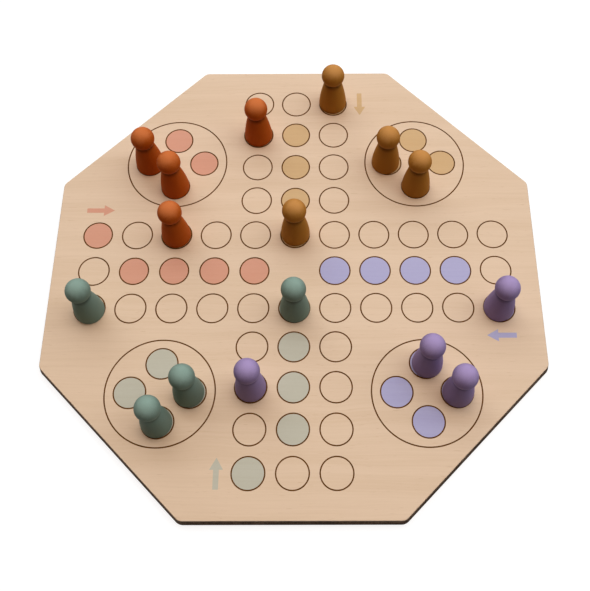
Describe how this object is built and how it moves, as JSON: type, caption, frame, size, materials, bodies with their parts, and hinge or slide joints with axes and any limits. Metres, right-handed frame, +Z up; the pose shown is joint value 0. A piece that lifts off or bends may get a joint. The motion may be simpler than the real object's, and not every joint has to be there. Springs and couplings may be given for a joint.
{
  "type": "ludo board",
  "caption": "Eight-sided plywood ludo board with scored, tinted fields and loose turned wooden pawns in team colours that lift off and stand on its rings.",
  "frame": {"origin": "middle of the board's underside, on the surface that it lies on", "axes": "+Z up through the board; +Y from the sage start arm to the ochre start arm; +X from the rust lane to the lilac lane"},
  "size_m": [0.3042, 0.3042, 0.044],
  "materials": {
    "birch_veneer": "pale birch veneer, sanded and sealed matt, with scored rings and thin team-coloured ink",
    "scorched_ply": "plywood edge burnt dark brown by the cut, matt",
    "rust_paint": "turned wood, rust-coloured satin paint",
    "ochre_paint": "turned wood, ochre satin paint",
    "sage_paint": "turned wood, grey-green satin paint",
    "lilac_paint": "turned wood, lilac satin paint"
  },
  "bodies": {
    "board": {"back_veneer": "birch_veneer", "lower_cross_band": "scorched_ply", "core_ply": "scorched_ply", "upper_cross_band": "scorched_ply", "face_veneer": "birch_veneer"},
    "rust_pawn_1": {"rust_pawn_1": "rust_paint"},
    "rust_pawn_2": {"rust_pawn_2": "rust_paint"},
    "rust_pawn_3": {"rust_pawn_3": "rust_paint"},
    "rust_pawn_4": {"rust_pawn_4": "rust_paint"},
    "ochre_pawn_1": {"ochre_pawn_1": "ochre_paint"},
    "ochre_pawn_2": {"ochre_pawn_2": "ochre_paint"},
    "ochre_pawn_3": {"ochre_pawn_3": "ochre_paint"},
    "ochre_pawn_4": {"ochre_pawn_4": "ochre_paint"},
    "sage_pawn_1": {"sage_pawn_1": "sage_paint"},
    "sage_pawn_2": {"sage_pawn_2": "sage_paint"},
    "sage_pawn_3": {"sage_pawn_3": "sage_paint"},
    "sage_pawn_4": {"sage_pawn_4": "sage_paint"},
    "lilac_pawn_1": {"lilac_pawn_1": "lilac_paint"},
    "lilac_pawn_2": {"lilac_pawn_2": "lilac_paint"},
    "lilac_pawn_3": {"lilac_pawn_3": "lilac_paint"},
    "lilac_pawn_4": {"lilac_pawn_4": "lilac_paint"}
  },
  "joints": [
    {"name": "rust_pawn_1_lift", "type": "slide", "parent": "board", "child": "rust_pawn_1", "axis": [0, 0, 1], "range_m": [0, 0.05]},
    {"name": "rust_pawn_2_lift", "type": "slide", "parent": "board", "child": "rust_pawn_2", "axis": [0, 0, 1], "range_m": [0, 0.05]},
    {"name": "rust_pawn_3_lift", "type": "slide", "parent": "board", "child": "rust_pawn_3", "axis": [0, 0, 1], "range_m": [0, 0.05]},
    {"name": "rust_pawn_4_lift", "type": "slide", "parent": "board", "child": "rust_pawn_4", "axis": [0, 0, 1], "range_m": [0, 0.05]},
    {"name": "ochre_pawn_1_lift", "type": "slide", "parent": "board", "child": "ochre_pawn_1", "axis": [0, 0, 1], "range_m": [0, 0.05]},
    {"name": "ochre_pawn_2_lift", "type": "slide", "parent": "board", "child": "ochre_pawn_2", "axis": [0, 0, 1], "range_m": [0, 0.05]},
    {"name": "ochre_pawn_3_lift", "type": "slide", "parent": "board", "child": "ochre_pawn_3", "axis": [0, 0, 1], "range_m": [0, 0.05]},
    {"name": "ochre_pawn_4_lift", "type": "slide", "parent": "board", "child": "ochre_pawn_4", "axis": [0, 0, 1], "range_m": [0, 0.05]},
    {"name": "sage_pawn_1_lift", "type": "slide", "parent": "board", "child": "sage_pawn_1", "axis": [0, 0, 1], "range_m": [0, 0.05]},
    {"name": "sage_pawn_2_lift", "type": "slide", "parent": "board", "child": "sage_pawn_2", "axis": [0, 0, 1], "range_m": [0, 0.05]},
    {"name": "sage_pawn_3_lift", "type": "slide", "parent": "board", "child": "sage_pawn_3", "axis": [0, 0, 1], "range_m": [0, 0.05]},
    {"name": "sage_pawn_4_lift", "type": "slide", "parent": "board", "child": "sage_pawn_4", "axis": [0, 0, 1], "range_m": [0, 0.05]},
    {"name": "lilac_pawn_1_lift", "type": "slide", "parent": "board", "child": "lilac_pawn_1", "axis": [0, 0, 1], "range_m": [0, 0.05]},
    {"name": "lilac_pawn_2_lift", "type": "slide", "parent": "board", "child": "lilac_pawn_2", "axis": [0, 0, 1], "range_m": [0, 0.05]},
    {"name": "lilac_pawn_3_lift", "type": "slide", "parent": "board", "child": "lilac_pawn_3", "axis": [0, 0, 1], "range_m": [0, 0.05]},
    {"name": "lilac_pawn_4_lift", "type": "slide", "parent": "board", "child": "lilac_pawn_4", "axis": [0, 0, 1], "range_m": [0, 0.05]}
  ]
}
